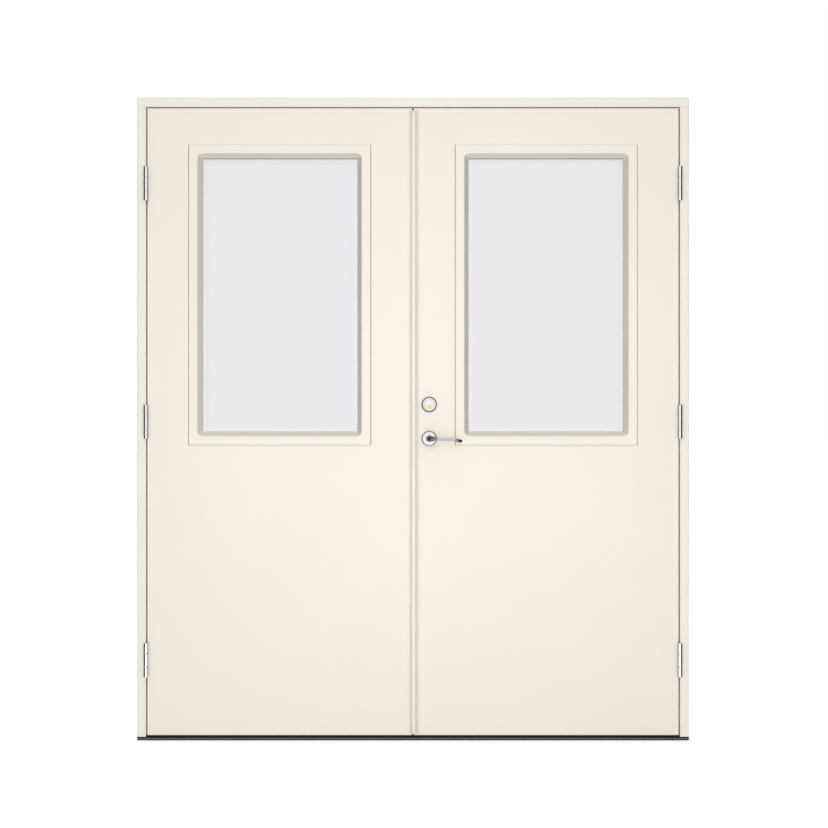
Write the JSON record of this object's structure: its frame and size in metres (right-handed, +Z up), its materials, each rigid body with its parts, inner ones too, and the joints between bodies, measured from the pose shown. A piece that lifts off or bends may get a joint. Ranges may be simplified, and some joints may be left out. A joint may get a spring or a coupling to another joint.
{
  "type": "double exterior door",
  "caption": "Outward-opening double door: two flush glazed leaves on side hinges in a rebated frame with sill, lock cylinder, lever handle and flush bolts.",
  "frame": {"origin": "centre of the sill's underside, midway in the frame's width and depth", "axes": "+X to the right seen from outside, +Y into the building, +Z up"},
  "size_m": [1.785, 0.174, 2.08],
  "materials": {
    "leaf_paint": "smooth satin cream paint",
    "frame_paint": "smooth satin cream paint over timber",
    "bead_paint": "satin warm grey paint",
    "glass": "clear sealed unit, slightly grey",
    "handle_chrome": "polished",
    "hinge_steel": "polished to satin",
    "brass": "satin",
    "sill_metal": "dark anodised",
    "rubber": "matt black"
  },
  "bodies": {
    "frame": {"head": "frame_paint", "left_jamb": "frame_paint", "right_jamb": "frame_paint", "sill": "sill_metal", "threshold_stop": "sill_metal", "frame_seal": "rubber", "left_bottom_hinge_frame_half": "hinge_steel", "left_middle_hinge_frame_half": "hinge_steel", "left_top_hinge_frame_half": "hinge_steel", "right_bottom_hinge_frame_half": "hinge_steel", "right_middle_hinge_frame_half": "hinge_steel", "right_top_hinge_frame_half": "hinge_steel"},
    "left_leaf": {"left_leaf_slab": "leaf_paint", "left_glass_unit": "glass", "left_outer_window_trim": "leaf_paint", "left_inner_window_trim": "leaf_paint", "left_outer_glazing_bead": "bead_paint", "left_inner_glazing_bead": "bead_paint", "left_bottom_hinge_leaf_half": "hinge_steel", "left_middle_hinge_leaf_half": "hinge_steel", "left_top_hinge_leaf_half": "hinge_steel", "left_meeting_strip": "leaf_paint", "strike_plate": "hinge_steel", "top_flush_bolt": "hinge_steel", "bottom_flush_bolt": "hinge_steel"},
    "right_leaf": {"right_leaf_slab": "leaf_paint", "right_glass_unit": "glass", "right_outer_window_trim": "leaf_paint", "right_inner_window_trim": "leaf_paint", "right_outer_glazing_bead": "bead_paint", "right_inner_glazing_bead": "bead_paint", "right_bottom_hinge_leaf_half": "hinge_steel", "right_middle_hinge_leaf_half": "hinge_steel", "right_top_hinge_leaf_half": "hinge_steel", "right_meeting_strip": "leaf_paint", "meeting_seal": "rubber", "lock_faceplate": "hinge_steel", "latch_bolt": "hinge_steel", "dead_bolt": "hinge_steel", "outer_rosette": "handle_chrome", "inner_rosette": "handle_chrome", "cylinder_collar": "handle_chrome", "cylinder_body": "handle_chrome", "cylinder_plug": "brass", "thumb_turn": "handle_chrome"},
    "lever": {"outer_lever": "handle_chrome", "inner_lever": "handle_chrome"}
  },
  "joints": [
    {"name": "left_leaf_hinge", "type": "hinge", "parent": "frame", "child": "left_leaf", "pos_m": [-0.8615, -0.0615, 1.032], "axis": [0, 0, -1], "range_deg": [0, 110]},
    {"name": "right_leaf_hinge", "type": "hinge", "parent": "frame", "child": "right_leaf", "pos_m": [0.8615, -0.0615, 1.032], "axis": [0, 0, 1], "range_deg": [0, 110]},
    {"name": "lever_turn", "type": "hinge", "parent": "right_leaf", "child": "lever", "pos_m": [0.0525, -0.0215, 0.977], "axis": [0, 1, 0], "range_deg": [0, 45], "stiffness_Nm_per_rad": 2, "springref_deg": -22.92}
  ]
}
